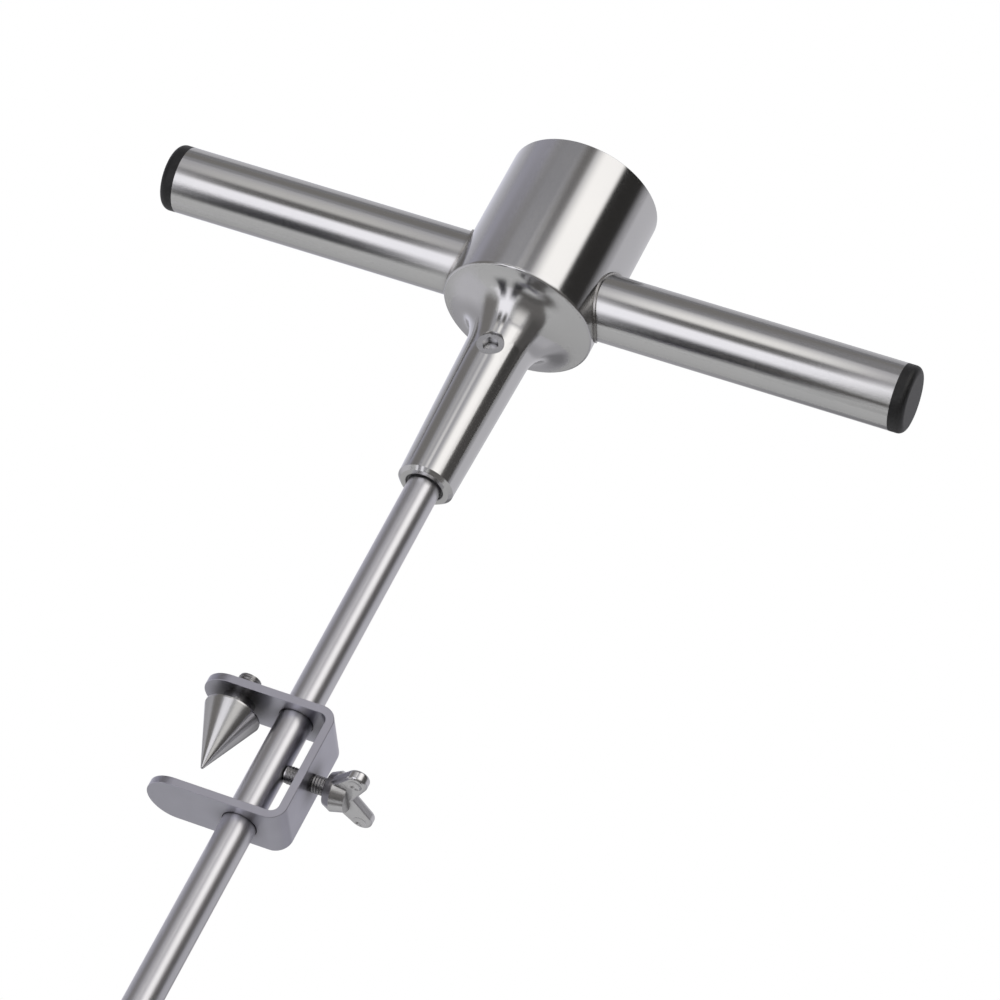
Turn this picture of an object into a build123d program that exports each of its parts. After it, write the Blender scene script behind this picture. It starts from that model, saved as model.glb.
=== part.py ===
from build123d import *
import math
import os

# A hand-held soil compaction meter, in millimetres. The fitted cone's point is the origin, the rod
# runs up +Z, the handles lie along X, and the neck's retaining screw faces -Y. Pushing the rod into
# the soil lifts a piston, and the oil above it carries the pressure to a gauge in the hub.
overall_height = 914.0

# Clearances that pieces share.
running_gap = 0.05
seat_gap = 0.1

# Hub: a tube welded on a turned base, open at the top.
hub_d = 57.7
hub_wall = 2.0
hub_height = 62.9
hub_edge = 0.4
rim_rounding = 1.1
base_land = 3.0
base_register = 3.0

# Neck: a trumpet flare under the hub, then a slow taper down to the rod.
neck_length = 81.0
neck_top_d = 24.2
neck_end_d = 20.9
neck_lip = 1.3
neck_bore_d = 14.0
bore_mouth = 0.25
flare_height = 18.0

# Handles: two tubes coped to the hub and welded on.
handle_d = 25.0
handle_wall = 1.5
handle_reach = 140.1
handle_rise = 16.4
weld_leg = 0.7

# End plugs: a head as wide as the tube and a hollow ribbed stem inside it.
plug_head = 5.4
plug_edge = 2.6
plug_stem = 15.0
plug_wall = 1.8
plug_rib_height = 1.2
plug_rib_width = 1.4
plug_rib_count = 3

# Rod, its travel in the neck, and the rings that mark depth.
rod_d = 12.3
rod_edge = 0.6
press_travel = 2.0
mark_spacing = 75.0
mark_count = 6
mark_width = 0.9
mark_depth = 0.25

# Guide bushes and wiper in the neck's bore.
bush_length = 14.0
upper_bush_drop = 31.0
wiper_recess = 0.8
wiper_length = 2.4

# Retaining screw: its dog point stands in a groove round the rod.
retainer_d = 10.0
retainer_drop = 21.7
retainer_recess = 0.9
retainer_mouth = 0.4
retainer_hex = 5.5
retainer_hex_depth = 3.0
retainer_inset = 0.3
dog_d = 5.0
dog_gap = 0.5
groove_depth = 1.9

# Cones: the small one is fitted, the large one is the spare.
cone_angle = 45.0
cone_land = 0.6
cone_nose_r = 0.6
small_cone_d = 12.83
large_cone_d = 20.3
stud_d = 8.0
small_stud_length = 12.0
stud_hole_spare = 2.0
spare_shoulder_d = 12.0
spare_shoulder = 5.2

# Storage bracket: a strip bent to a U, with round flange ends.
bracket_drop = 186.7
bracket_gap = 41.6
bracket_width = 20.5
bracket_thickness = 3.0
bracket_reach = 24.2
bracket_bend = 3.0
bracket_edge = 0.15
web_offset = 15.9
rod_hole_d = 12.9
spare_offset = 21.4
stub_rise = 6.3

# Wing screw through the bracket's web.
wing_thread_d = 6.0
wing_standoff = 5.8
wing_boss_foot_d = 11.6
wing_boss_d = 14.4
wing_boss_end_d = 12.0
wing_boss_swell = 3.0
wing_boss_length = 7.9
wing_span = 29.9
wing_length = 15.65
wing_thickness = 4.2
wing_tip_r = 4.05
wing_root_r = 3.9
wing_root_rise = 5.2
wing_shoulder_r = 2.2
wing_shoulder_rise = 3.2
wing_shoulder_offset = 4.6
wing_edge = 1.2
wing_dish_d = 5.0
wing_dish_depth = 0.7

# Hydraulic cylinder in the hub, its screws, piston and seals.
cylinder_depth = 12.0
cylinder_spigot_d = 21.0
cylinder_flange_d = 46.0
cylinder_flange = 4.0
cylinder_boss_d = 26.0
cylinder_boss = 18.0
cylinder_screw_count = 3
cylinder_screw_d = 4.0
cylinder_screw_circle_d = 36.0
cylinder_screw_grip = 7.0
cylinder_screw_head_d = 7.0
cylinder_screw_head = 4.0
cylinder_screw_hex = 3.0
cylinder_screw_hex_depth = 2.2
piston_d = 16.0
piston_length = 11.0
piston_ring_rise = 4.6
oil_head = 2.5
oil_passage_d = 4.0
o_ring_section = 2.0
o_ring_squeeze = 0.1
o_ring_side_gap = 0.2
clip_land = 0.8
clip_thickness = 1.0
clip_bite = 0.6
clip_inner_d = 13.0
clip_gap_angle = 40.0

# Gauge: socket, case and front.
socket_thread_d = 13.0
socket_thread_length = 12.5
washer = 1.5
washer_d = 21.0
socket_hex = 14.0
socket_hex_length = 5.0
socket_neck_d = 16.4
socket_flange_d = 27.0
socket_flange = 1.5
socket_post_d = 14.0
socket_post = 8.0
socket_bore_d = 3.0
case_back = 1.2
case_wall = 1.1
case_gap = 0.6
case_screw_count = 3
case_screw_d = 2.0
case_screw_head_d = 3.4
case_screw_head = 1.2
case_screw_angle = 60.0
bezel_wall = 0.8
bezel_skirt = 6.0
bezel_lip = 3.2
bezel_lip_thickness = 1.0
gasket = 1.0
gasket_width = 2.2
window = 2.5

# Bourdon tube: a flattened tube bent to a C about the gauge's axis.
bourdon_inset = 3.9
bourdon_thickness = 2.4
bourdon_height = 6.4
bourdon_skin = 0.4
bourdon_corner = 1.1
bourdon_span = 255.0
bourdon_floor_gap = 1.6
bourdon_arm_width = 7.0
bourdon_arm_spare = 1.2
tip_block_length = 3.0
tip_block_rise = 0.8

# Movement: plates, pillars, toothed sector, pinion, link and hairspring.
plate = 1.0
plate_gap = 5.0
plate_round = 8.8
plate_end_round = 6.2
pillar_d = 2.2
pillar_inset = 7.0
pillar_angle = 37.0
pillar_end_offset = 4.6
movement_screw_d = 1.6
movement_screw_head_d = 2.4
movement_screw_head = 0.9
movement_screw_grip = 2.5
movement_screw_radius = 4.0
movement_screw_angle = 40.0
gear_module = 0.25
gear_pressure_angle = 20.0
gear_backlash = 0.04
flank_steps = 3
pinion_teeth = 12
sector_teeth = 96
sector_cut_teeth = 13
pinion_addendum = 1.0
sector_addendum = 0.6
root_clearance = 0.25
sector_rise = 1.3
sector_thickness = 1.0
sector_rim = 1.6
sector_arm = 1.6
sector_hub_r = 1.9
sector_tail = 3.2
sector_tail_r = 1.1
sector_lead_teeth = 2
pinion_margin = 0.3
pivot_d = 1.1
arbor_d = 1.6
link_thickness = 0.7
link_round = 1.0
link_pin_d = 0.9
link_slot = 2.3
link_slot_gap = 0.25
pointer_sweep = 270.0
pointer_zero_angle = 225.0
hairspring_start_r = 1.75
hairspring_step = 0.45
hairspring_half_turns = 8
hairspring_width = 0.18
hairspring_height = 0.6
hairspring_gap = 0.5
hairspring_stud_d = 0.9

# Dial, its screws and stop pin, and the pointer.
dial_thickness = 0.6
dial_gap = 0.7
dial_hole_d = 4.0
dial_screw_d = 1.4
dial_screw_head_d = 2.4
dial_screw_head = 0.5
dial_screw_x = 5.4
stop_pin_d = 0.9
stop_pin_radius = 12.5
stop_pin_rise = 2.2
pointer_rise = 1.5
pointer_thickness = 0.5
pointer_length = 18.0
pointer_tail = 6.0
pointer_width = 2.0
pointer_tip_width = 0.4
pointer_hub_d = 4.4
pointer_hub = 1.2
pointer_headroom = 1.2

# Radii and heights that follow from the sizes above.
hub_r = hub_d / 2
hub_bore_r = hub_r - hub_wall
rod_r = rod_d / 2
neck_bore_r = neck_bore_d / 2
handle_r = handle_d / 2
rim_z = overall_height - hub_height
neck_end_z = rim_z - neck_length
base_top_z = rim_z + base_land + base_register
handle_z = rim_z + handle_rise
retainer_z = rim_z - retainer_drop
cylinder_foot_z = rim_z - cylinder_depth
clip_z = cylinder_foot_z + clip_land
piston_z = clip_z + clip_thickness
piston_top_z = piston_z + piston_length
oil_roof_z = piston_top_z + press_travel + oil_head
flange_top_z = base_top_z + cylinder_flange
boss_top_z = flange_top_z + cylinder_boss
port_floor_z = boss_top_z - socket_thread_length - seat_gap
case_z = boss_top_z + washer + socket_hex_length
case_floor_z = case_z + case_back
post_top_z = case_floor_z + socket_flange + socket_post
movement_z = post_top_z + plate
sector_z = movement_z + sector_rise
sector_top_z = sector_z + sector_thickness
link_z = sector_top_z + running_gap
link_top_z = link_z + link_thickness
hairspring_z = sector_top_z + pinion_margin + hairspring_gap
front_plate_z = movement_z + plate_gap
dial_z = front_plate_z + plate
dial_top_z = dial_z + dial_thickness
pointer_z = dial_top_z + pointer_rise
window_z = pointer_z + pointer_hub + pointer_headroom
window_top_z = window_z + window
case_front_z = window_z - gasket
bezel_r = hub_bore_r - case_gap
case_r = bezel_r - bezel_wall - running_gap
case_bore_r = case_r - case_wall
bourdon_r = case_bore_r - bourdon_inset
bourdon_z = case_floor_z + bourdon_floor_gap
cone_half = math.radians(cone_angle / 2)
cone_nose_loss = cone_nose_r / math.sin(cone_half) - cone_nose_r
small_cone_length = small_cone_d / 2 / math.tan(cone_half) - cone_nose_loss + cone_land
large_cone_length = large_cone_d / 2 / math.tan(cone_half) - cone_nose_loss + cone_land
flange_under_z = rim_z - bracket_drop
wing_z = flange_under_z - bracket_gap / 2

# The toothed sector turns through the pointer's sweep divided by the gear ratio.
gear_distance = gear_module * (pinion_teeth + sector_teeth) / 2
sector_sweep = pointer_sweep * pinion_teeth / sector_teeth
sector_tail_angle = -sector_sweep / 2
link_pivot = Vector(gear_distance, 0) + Vector(sector_tail, 0).rotate(Axis.Z, sector_tail_angle)

# The Bourdon tube's pin stands midway along its tip block, straight below the link's pivot in plan.
tip_pin_r = math.hypot(bourdon_r, tip_block_length / 2)
tip_pin_angle = -math.degrees(math.acos(link_pivot.X / tip_pin_r))
bourdon_tip_angle = tip_pin_angle + math.degrees(math.atan2(tip_block_length / 2, bourdon_r))
tip_pin = Vector(tip_pin_r, 0).rotate(Axis.Z, tip_pin_angle)


def disc(radius, low, high):
    """A round bar about Z between two heights."""
    return Pos(0, 0, low) * extrude(Circle(radius), high - low)


def ring(outer_r, inner_r, low, high):
    """A round tube about Z between two heights."""
    return disc(outer_r, low, high) - disc(inner_r, low, high)


def turned(*outline):
    """A solid turned about Z from a closed outline of (radius, height) points."""
    return revolve(Plane.XZ * make_face(Polyline(*outline, close=True)), Axis.Z)


def around(count, radius, first_angle=0.0):
    """Evenly spaced places on a circle about Z."""
    step = 360 / count
    return [Pos(*Vector(radius, 0).rotate(Axis.Z, first_angle + step * i)) for i in range(count)]


def hex_socket(width, depth, top):
    """The hollow of a hex socket that opens upwards at the given height."""
    return Pos(0, 0, top - depth) * extrude(RegularPolygon(width / 2, 6, major_radius=False), depth)


def neck_radius(drop):
    """The neck's outer radius at a distance below the hub's rim."""
    share = (drop - flare_height) / (neck_length - flare_height)
    return (neck_top_d + (neck_end_d - neck_top_d) * share) / 2


def hub_shell():
    """The tube round the gauge, with a broken edge at its open top."""
    tube = ring(hub_r, hub_bore_r, rim_z + base_land, overall_height)
    return chamfer(tube.edges().group_by(Axis.Z)[-1], hub_edge)


def neck_base():
    """The turned base: register for the tube, rounded rim, trumpet flare, tapered neck and bores."""
    register_r = hub_bore_r - running_gap
    neck_top = (neck_top_d / 2, rim_z - flare_height)
    neck_lip_top = (neck_radius(neck_length - neck_lip), neck_end_z + neck_lip)
    taper = (neck_top[0] - neck_lip_top[0], neck_top[1] - neck_lip_top[1])
    rim = (hub_r - rim_rounding, rim_z)
    rim_side = (hub_r, rim_z + rim_rounding)
    outline = Polyline(neck_top, neck_lip_top, (neck_end_d / 2 - neck_lip, neck_end_z), (0, neck_end_z),
                       (0, base_top_z), (register_r, base_top_z), (register_r, rim_z + base_land),
                       (hub_r, rim_z + base_land), rim_side)
    outline += TangentArc(rim_side, rim, tangent=(0, -1))
    outline += TangentArc(neck_top, rim, tangent=taper)
    body = revolve(Plane.XZ * make_face(outline), Axis.Z)
    body -= disc(neck_bore_r, neck_end_z, cylinder_foot_z)
    body -= disc(cylinder_spigot_d / 2, cylinder_foot_z, base_top_z)
    body -= turned((0, neck_end_z), (neck_bore_r + bore_mouth, neck_end_z),
                   (neck_bore_r, neck_end_z + bore_mouth), (0, neck_end_z + bore_mouth))
    for place in around(cylinder_screw_count, cylinder_screw_circle_d / 2, -90):
        body -= place * disc(cylinder_screw_d / 2, base_top_z - cylinder_screw_grip, base_top_z)
    wall_r = neck_radius(retainer_drop)
    body -= facing_front(disc(retainer_d / 2, 0, hub_r))
    body -= facing_front(turned((0, wall_r), (retainer_d / 2 + retainer_mouth, wall_r),
                                (retainer_d / 2, wall_r - retainer_mouth), (0, wall_r - retainer_mouth)))
    return body


def facing_front(shape):
    """Lays a shape made about Z along -Y, at the retaining screw's height."""
    return Pos(0, 0, retainer_z) * Rot(90, 0, 0) * shape


def rod_retaining_screw():
    """A set screw with a hex socket, whose dog point reaches into the rod's groove."""
    head_r = neck_radius(retainer_drop) - retainer_recess
    dog_end = rod_r - groove_depth + dog_gap
    screw = disc(retainer_d / 2, neck_bore_r + retainer_inset, head_r)
    screw += disc(dog_d / 2, dog_end, neck_bore_r + retainer_inset)
    screw -= hex_socket(retainer_hex, retainer_hex_depth, head_r)
    return facing_front(screw)


def handle_tube(side):
    """A handle tube on the +X or -X side, its inner end cut to the hub's curve."""
    tube = ring(handle_r, handle_r - handle_wall, 0, handle_reach)
    laid = Pos(0, 0, handle_z) * Rot(0, 90 * side, 0) * tube
    return laid - disc(hub_r, rim_z, overall_height)


def handle_welds():
    """Two beads that follow the saddle where a handle meets the hub."""
    skin = ring(hub_r + weld_leg, hub_r, rim_z, overall_height)
    collar = Pos(-hub_d, 0, handle_z) * Rot(0, 90, 0) * ring(handle_r + weld_leg, handle_r, 0, 2 * hub_d)
    return skin & collar


def end_plug(side):
    """A plug with a rounded head, and a hollow stem with ribs that grip the tube."""
    head = disc(handle_r, handle_reach, handle_reach + plug_head)
    head = fillet(head.edges().group_by(Axis.Z)[-1], plug_edge)
    rib_r = handle_r - handle_wall - running_gap
    stem_r = rib_r - plug_rib_height
    stem_foot = handle_reach - plug_stem
    plug = head + ring(stem_r, stem_r - plug_wall, stem_foot, handle_reach)
    rib_step = plug_stem / (plug_rib_count + 1)
    for index in range(plug_rib_count):
        rib_z = stem_foot + rib_step * (index + 1) - plug_rib_width / 2
        plug += ring(rib_r, stem_r - plug_wall / 2, rib_z, rib_z + plug_rib_width)
    return Pos(0, 0, handle_z) * Rot(0, 90 * side, 0) * plug


def guide_bush(foot_z):
    """A plain bearing pressed into the neck's bore."""
    return ring(neck_bore_r, rod_r + running_gap, foot_z, foot_z + bush_length)


def rod_wiper():
    """A rubber ring just inside the neck's mouth that keeps soil out."""
    foot_z = neck_end_z + wiper_recess
    return ring(neck_bore_r, rod_r + seat_gap, foot_z, foot_z + wiper_length)


def push_rod():
    """The rod, with a tapped foot for the cone, depth rings, and a groove for the retaining screw."""
    rod = disc(rod_r, small_cone_length, piston_z)
    rod = chamfer(rod.edges().group_by(Axis.Z)[-1], rod_edge)
    hole_depth = small_stud_length + stud_hole_spare
    rod -= disc(stud_d / 2 + running_gap, small_cone_length, small_cone_length + hole_depth)
    groove_top = retainer_z + dog_d / 2 + running_gap
    groove_foot = retainer_z - dog_d / 2 - press_travel - dog_gap
    rod -= ring(rod_r, rod_r - groove_depth, groove_foot, groove_top)
    for index in range(mark_count):
        mark_z = mark_spacing * (index + 1) - mark_width / 2
        rod -= ring(rod_r, rod_r - mark_depth, mark_z, mark_z + mark_width)
    return rod


def cone(diameter, length, stud_length):
    """A cone with its blunt point down at the origin, and a threaded stud on its flat top."""
    radius = diameter / 2
    stud_top = length + stud_length
    nose = (cone_nose_r * math.cos(cone_half), cone_nose_r * (1 - math.sin(cone_half)))
    outline = Polyline(nose, (radius, length - cone_land), (radius, length), (stud_d / 2, length),
                       (stud_d / 2, stud_top), (0, stud_top), (0, 0))
    outline += TangentArc((0, 0), nose, tangent=(1, 0))
    return revolve(Plane.XZ * make_face(outline), Axis.Z)


def spare_cone():
    """The large cone, screwed up to its shoulder in the bracket's upper flange, with its stud's end above."""
    shoulder_top = large_cone_length + spare_shoulder
    shape = cone(large_cone_d, large_cone_length, spare_shoulder + bracket_thickness + stub_rise)
    shape += disc(spare_shoulder_d / 2, large_cone_length, shoulder_top)
    return Pos(-spare_offset, 0, flange_under_z - shoulder_top) * shape


def storage_bracket():
    """A strip bent to a U, its flange ends rounded, drilled for the rod, the spare's stud and the screw."""
    half = bracket_thickness / 2
    tip_x = -bracket_reach - bracket_width / 2
    top = flange_under_z + half
    foot = flange_under_z - bracket_gap - half
    web_x = web_offset - half
    path = FilletPolyline((tip_x, top), (web_x, top), (web_x, foot), (tip_x, foot),
                          radius=bracket_bend + half)
    strip = extrude(Plane.XZ * trace(path, bracket_thickness), bracket_width / 2, both=True)
    middle_x = (web_offset - bracket_reach) / 2
    plan = Pos(middle_x, 0) * Rectangle(web_offset + bracket_reach, bracket_width)
    plan += Pos(-bracket_reach, 0) * Circle(bracket_width / 2)
    height = bracket_gap + 2 * bracket_thickness
    foot_z = foot - half
    bracket = strip & (Pos(0, 0, foot_z) * extrude(plan, height))
    bracket = chamfer(bracket.edges().filter_by(lambda edge: abs(edge.center().Y) > 0), bracket_edge)
    bracket -= disc(rod_hole_d / 2, foot_z, foot_z + height)
    stud_hole = disc(stud_d / 2 + running_gap, flange_under_z, flange_under_z + bracket_thickness)
    bracket -= Pos(-spare_offset, 0) * stud_hole
    bracket -= along_wing_screw(disc(wing_thread_d / 2 + running_gap, 0, web_offset))
    return bracket


def along_wing_screw(shape):
    """Lays a shape made about Z along +X, at the wing screw's height."""
    return Pos(0, 0, wing_z) * Rot(0, 90, 0) * shape


def wing_screw():
    """A wing screw: threaded shank, barrel boss, and two wings that open outwards, dished for the thumb."""
    boss_foot = web_offset + wing_standoff
    shank = disc(wing_thread_d / 2, rod_r + seat_gap, boss_foot)
    boss_top = boss_foot + wing_boss_length
    boss = turned((0, boss_foot), (wing_boss_foot_d / 2, boss_foot),
                  (wing_boss_d / 2, boss_foot + wing_boss_swell),
                  (wing_boss_end_d / 2, boss_top), (0, boss_top))
    tip_x = boss_foot + wing_length - wing_tip_r
    tip_y = wing_span / 2 - wing_tip_r
    root_x = boss_foot + wing_root_rise
    shoulder_x = boss_foot + wing_shoulder_rise
    dish_rise = wing_dish_d ** 2 / 8 / wing_dish_depth - wing_dish_depth / 2
    dish = Sphere(dish_rise + wing_dish_depth)
    screw = along_wing_screw(shank + boss)
    for side in (1, -1):
        tip = Pos(tip_x, side * tip_y) * Circle(wing_tip_r)
        root = Pos(root_x, 0) * Circle(wing_root_r)
        shoulder = Pos(shoulder_x, side * wing_shoulder_offset) * Circle(wing_shoulder_r)
        plan = make_hull(tip.edges() + root.edges() + shoulder.edges())
        wing = extrude(plan, wing_thickness / 2, both=True)
        wing = fillet(wing.edges().filter_by(Plane.XY), wing_edge)
        for face in (1, -1):
            wing -= Pos(tip_x, side * tip_y, face * (wing_thickness / 2 + dish_rise)) * dish
        screw += Pos(0, 0, wing_z) * wing
    return screw


def hydraulic_cylinder():
    """The oil cylinder: bored spigot in the base, screwed flange, and a boss with the gauge's port."""
    bore_r = piston_d / 2
    body = disc(cylinder_spigot_d / 2, cylinder_foot_z, base_top_z)
    body += disc(cylinder_flange_d / 2, base_top_z, flange_top_z)
    body += disc(cylinder_boss_d / 2, flange_top_z, boss_top_z)
    body -= disc(bore_r, cylinder_foot_z, oil_roof_z)
    body -= disc(oil_passage_d / 2, oil_roof_z, port_floor_z)
    body -= disc(socket_thread_d / 2, port_floor_z, boss_top_z)
    body -= ring(bore_r + clip_bite, bore_r, clip_z, clip_z + clip_thickness)
    for place in around(cylinder_screw_count, cylinder_screw_circle_d / 2, -90):
        body -= place * disc(cylinder_screw_d / 2, base_top_z, flange_top_z)
    return body


def cylinder_screws():
    """Socket head screws that hold the cylinder's flange on the base."""
    head_top = flange_top_z + cylinder_screw_head
    screw = disc(cylinder_screw_d / 2, base_top_z - cylinder_screw_grip, flange_top_z)
    screw += disc(cylinder_screw_head_d / 2, flange_top_z, head_top)
    screw -= hex_socket(cylinder_screw_hex, cylinder_screw_hex_depth, head_top)
    places = around(cylinder_screw_count, cylinder_screw_circle_d / 2, -90)
    return Compound([place * screw for place in places])


def o_ring_band():
    """Heights of the piston's seal groove, and the radius of its floor."""
    foot_z = piston_z + piston_ring_rise
    width = o_ring_section + o_ring_side_gap
    floor_r = piston_d / 2 - o_ring_section + o_ring_squeeze
    return foot_z, foot_z + width, floor_r


def piston():
    """The piston on the rod's top, with a groove for its seal."""
    groove_foot, groove_top, floor_r = o_ring_band()
    outer_r = piston_d / 2 - running_gap
    body = disc(outer_r, piston_z, piston_top_z)
    return body - ring(outer_r, floor_r, groove_foot, groove_top)


def piston_o_ring():
    """The piston's seal, squeezed flat where it runs on the bore and sits in its groove."""
    groove_foot, groove_top, floor_r = o_ring_band()
    section_r = o_ring_section / 2
    seal = Torus(floor_r + section_r, section_r)
    seal = Pos(0, 0, (groove_foot + groove_top) / 2) * seal
    return seal & disc(piston_d / 2 - running_gap / 2, groove_foot, groove_top)


def piston_retaining_ring():
    """A spring clip, open on one side, that keeps the piston in its bore."""
    clip = ring(piston_d / 2 + clip_bite, clip_inner_d / 2, clip_z, clip_z + clip_thickness)
    reach = piston_d
    half_gap = reach * math.tan(math.radians(clip_gap_angle / 2))
    opening = Polygon((0, 0), (reach, -half_gap), (reach, half_gap), align=None)
    return clip - Pos(0, 0, clip_z) * extrude(opening, clip_thickness)


def gauge_socket():
    """The gauge's brass socket: thread, hex, flange in the case, post, and the arm to the Bourdon tube."""
    hex_z = boss_top_z + washer
    flange_z = case_floor_z + socket_flange
    body = disc(socket_thread_d / 2, boss_top_z - socket_thread_length, hex_z)
    hexagon = RegularPolygon(socket_hex / 2, 6, major_radius=False)
    body += Pos(0, 0, hex_z) * extrude(hexagon, socket_hex_length)
    body += disc(socket_neck_d / 2, case_z, case_floor_z)
    body += disc(socket_flange_d / 2, case_floor_z, flange_z)
    body += disc(socket_post_d / 2, flange_z, post_top_z)
    arm_length = bourdon_r + bourdon_thickness / 2 + bourdon_arm_spare
    arm = Pos(arm_length / 2, bourdon_arm_width / 2) * Rectangle(arm_length, bourdon_arm_width)
    arm_foot = flange_z - socket_flange
    arm_height = bourdon_z + bourdon_height - arm_foot
    arm = Pos(0, 0, arm_foot) * Rot(0, 0, bourdon_tip_angle + bourdon_span) * extrude(arm, arm_height)
    body += arm
    body -= disc(socket_bore_d / 2, boss_top_z - socket_thread_length, bourdon_z + bourdon_height / 2)
    for place in case_screw_places():
        body -= place * disc(case_screw_d / 2, case_floor_z, flange_z)
    for place in movement_screw_places():
        body -= place * disc(movement_screw_d / 2, post_top_z - movement_screw_grip, post_top_z)
    return body


def gauge_seal_washer():
    """A soft washer between the socket's hex and the cylinder's boss."""
    return ring(washer_d / 2, socket_thread_d / 2, boss_top_z, boss_top_z + washer)


def case_screw_places():
    """Places of the screws that hold the socket in the case, midway across its flange."""
    circle_r = (socket_neck_d + socket_flange_d) / 4
    return around(case_screw_count, circle_r, case_screw_angle)


def gauge_case():
    """The gauge's cup, with a hole for the socket in its back."""
    case = disc(case_r, case_z, case_front_z) - disc(case_bore_r, case_floor_z, case_front_z)
    case -= disc(socket_neck_d / 2, case_z, case_floor_z)
    for place in case_screw_places():
        case -= place * disc(case_screw_d / 2, case_z, case_floor_z)
    return case


def case_screws():
    """Pan head screws through the case's back into the socket's flange."""
    screw = disc(case_screw_d / 2, case_z, case_floor_z + socket_flange)
    screw += disc(case_screw_head_d / 2, case_z - case_screw_head, case_z)
    return Compound([place * screw for place in case_screw_places()])


def window_gasket():
    """A rubber ring between the case's rim and the window."""
    return ring(case_r, case_r - gasket_width, case_front_z, window_z)


def gauge_window():
    """The clear disc over the dial."""
    return disc(case_r, window_z, window_top_z)


def gauge_bezel():
    """The ring round the case's front, with a lip over the window's edge."""
    skirt = ring(bezel_r, case_r + running_gap, case_front_z - bezel_skirt, window_top_z)
    lip = ring(bezel_r, case_r - bezel_lip, window_top_z, window_top_z + bezel_lip_thickness)
    return skirt + lip


def bourdon_tube():
    """A flattened hollow tube bent to a C, with a closed tip block and the pin that drives the link."""
    outer = RectangleRounded(bourdon_thickness, bourdon_height, bourdon_corner)
    inner = Rectangle(bourdon_thickness - 2 * bourdon_skin, bourdon_height - 2 * bourdon_skin)
    middle_z = bourdon_z + bourdon_height / 2
    section = Plane.XZ * Pos(bourdon_r, middle_z) * (outer - inner)
    tube = Rot(0, 0, bourdon_tip_angle) * revolve(section, Axis.Z, bourdon_span)
    block_top = bourdon_z + bourdon_height + tip_block_rise
    block = Pos(bourdon_r, -tip_block_length / 2) * Rectangle(bourdon_thickness, tip_block_length)
    block = Pos(0, 0, bourdon_z) * extrude(block, block_top - bourdon_z)
    tube += Rot(0, 0, bourdon_tip_angle) * block
    return tube + Pos(*tip_pin) * disc(link_pin_d / 2, block_top, link_top_z + seat_gap)


def tip_link():
    """The link from the Bourdon tube up to the sector's tail, with a long hole at the tube's pin."""
    ends = Pos(link_pivot.X, link_pivot.Y) * Circle(link_round)
    ends += Pos(tip_pin.X, tip_pin.Y - link_slot) * Circle(link_round)
    slot_width = link_pin_d + 2 * link_slot_gap
    slot = Rot(0, 0, 90) * SlotCenterToCenter(link_slot, slot_width)
    bar = make_hull(ends.edges()) - Pos(tip_pin.X, tip_pin.Y - link_slot / 2) * slot
    pin = disc(link_pin_d / 2, sector_z, link_z)
    return Pos(0, 0, link_z) * extrude(bar, link_thickness) + Pos(*link_pivot) * pin


def plate_outline():
    """The movement plates' plan: round about the pinion, narrower round the sector's pivot."""
    circles = Circle(plate_round) + Pos(gear_distance, 0) * Circle(plate_end_round)
    return make_hull(circles.edges())


def pillar_places():
    """Two pillars behind the pinion and two beside the sector's pivot."""
    behind = [Pos(*Vector(pillar_inset, 0).rotate(Axis.Z, 180 + pillar_angle * side)) for side in (1, -1)]
    beside = [Pos(gear_distance, pillar_end_offset * side) for side in (1, -1)]
    return behind + beside


def movement_screw_places():
    """Two screws behind the pinion that hold the movement on the socket's post."""
    start = Vector(movement_screw_radius, 0)
    return [Pos(*start.rotate(Axis.Z, 180 + movement_screw_angle * side)) for side in (1, -1)]


def movement_plate(foot_z):
    """A movement plate with pivot holes for the pinion and the sector."""
    body = Pos(0, 0, foot_z) * extrude(plate_outline(), plate)
    pivot_hole = disc(pivot_d / 2 + running_gap, foot_z, foot_z + plate)
    body -= Pos(gear_distance, 0) * pivot_hole
    return body


def movement_back_plate():
    """The plate on the socket's post, drilled for its screws and the pinion's lower pivot."""
    body = movement_plate(post_top_z)
    body -= disc(pivot_d / 2 + running_gap, post_top_z, movement_z)
    for place in movement_screw_places():
        body -= place * disc(movement_screw_d / 2, post_top_z, movement_z)
    return body


def movement_front_plate():
    """The plate under the dial, with a larger hole for the pinion's arbor and taps for the dial."""
    body = movement_plate(front_plate_z)
    body -= disc(arbor_d / 2 + running_gap, front_plate_z, dial_z)
    for place in dial_screw_places():
        body -= place * disc(dial_screw_d / 2, front_plate_z, dial_z)
    return body


def movement_pillars():
    """Posts that hold the plates apart."""
    post = disc(pillar_d / 2, movement_z, front_plate_z)
    return Compound([place * post for place in pillar_places()])


def movement_screws():
    """Small screws that hold the back plate on the socket's post."""
    screw = disc(movement_screw_d / 2, post_top_z - movement_screw_grip, movement_z)
    screw += disc(movement_screw_head_d / 2, movement_z, movement_z + movement_screw_head)
    return Compound([place * screw for place in movement_screw_places()])


def involute(angle):
    """The involute function of an angle in radians."""
    return math.tan(angle) - angle


def gear_root(teeth, mate_addendum):
    """Root radius of a gear whose mate's teeth have the given height in modules."""
    return gear_module * (teeth / 2 - mate_addendum - root_clearance)


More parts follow.
